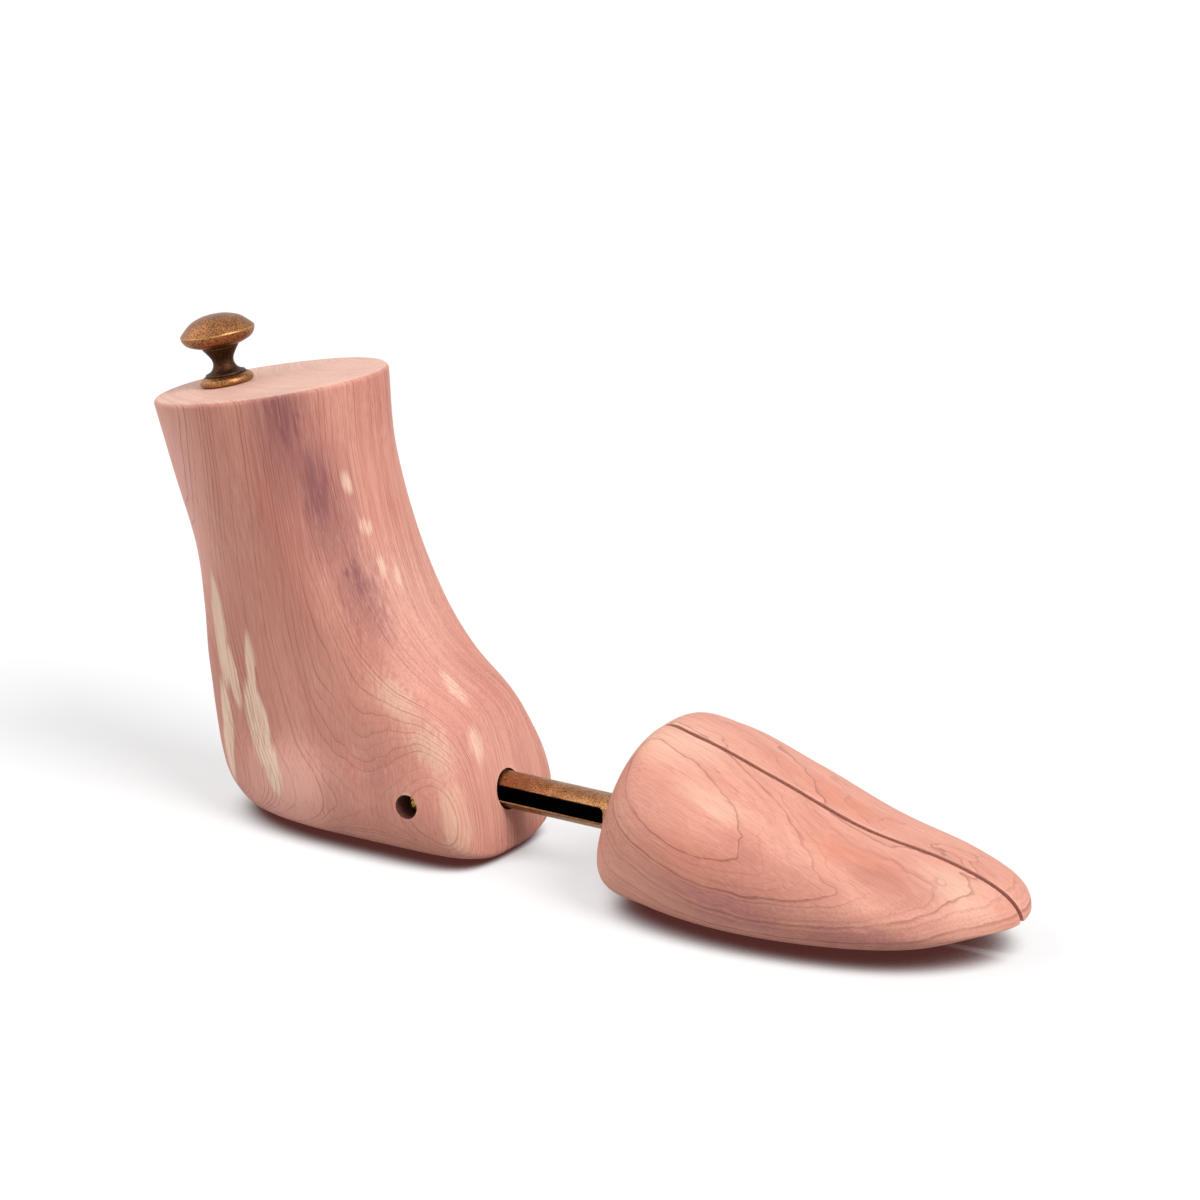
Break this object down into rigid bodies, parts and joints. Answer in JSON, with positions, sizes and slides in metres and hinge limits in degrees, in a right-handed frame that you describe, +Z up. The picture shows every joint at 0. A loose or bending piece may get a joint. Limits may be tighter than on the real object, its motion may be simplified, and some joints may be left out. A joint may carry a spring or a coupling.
{
  "type": "boot tree",
  "caption": "Cedar boot tree: tall ankle block with a brass pull knob, joined by a sprung slotted tube to a split toe, put into a boot to hold its shape and take up damp.",
  "frame": {"origin": "centre of the heel block's flat base", "axes": "+X from heel to toe along the tube, +Y to the inner side of a right foot, +Z up"},
  "size_m": [0.3343, 0.0918, 0.1738],
  "materials": {
    "heel_cedar": "sanded bare red cedar",
    "toe_cedar": "sanded bare red cedar",
    "antique_brass": "antiqued, speckled",
    "plain_steel": "plain",
    "yellow_zinc": "yellow zinc plated"
  },
  "bodies": {
    "heel": {"heel_block": "heel_cedar", "knob": "antique_brass", "knob_screw": "plain_steel", "guide_screw": "yellow_zinc", "main_spring": "plain_steel"},
    "slider": {"tube": "antique_brass", "tube_screw": "plain_steel", "toe_half_outer": "toe_cedar", "toe_pin_rear": "plain_steel", "toe_pin_front": "plain_steel", "toe_spring_rear": "plain_steel", "toe_spring_front": "plain_steel"},
    "inner_toe": {"toe_half_inner": "toe_cedar"}
  },
  "joints": [
    {"name": "tube_slide", "type": "slide", "parent": "heel", "child": "slider", "axis": [1, 0, 0], "range_m": [-0.038, 0], "stiffness_N_per_m": 900, "springref_m": 0.015, "deforming": ["main_spring"]},
    {"name": "toe_spread", "type": "slide", "parent": "slider", "child": "inner_toe", "axis": [-0.0679, 0.9977, 0], "range_m": [-0.0021, 0], "stiffness_N_per_m": 6000, "springref_m": 0.002, "deforming": ["toe_spring_rear", "toe_spring_front"]}
  ]
}
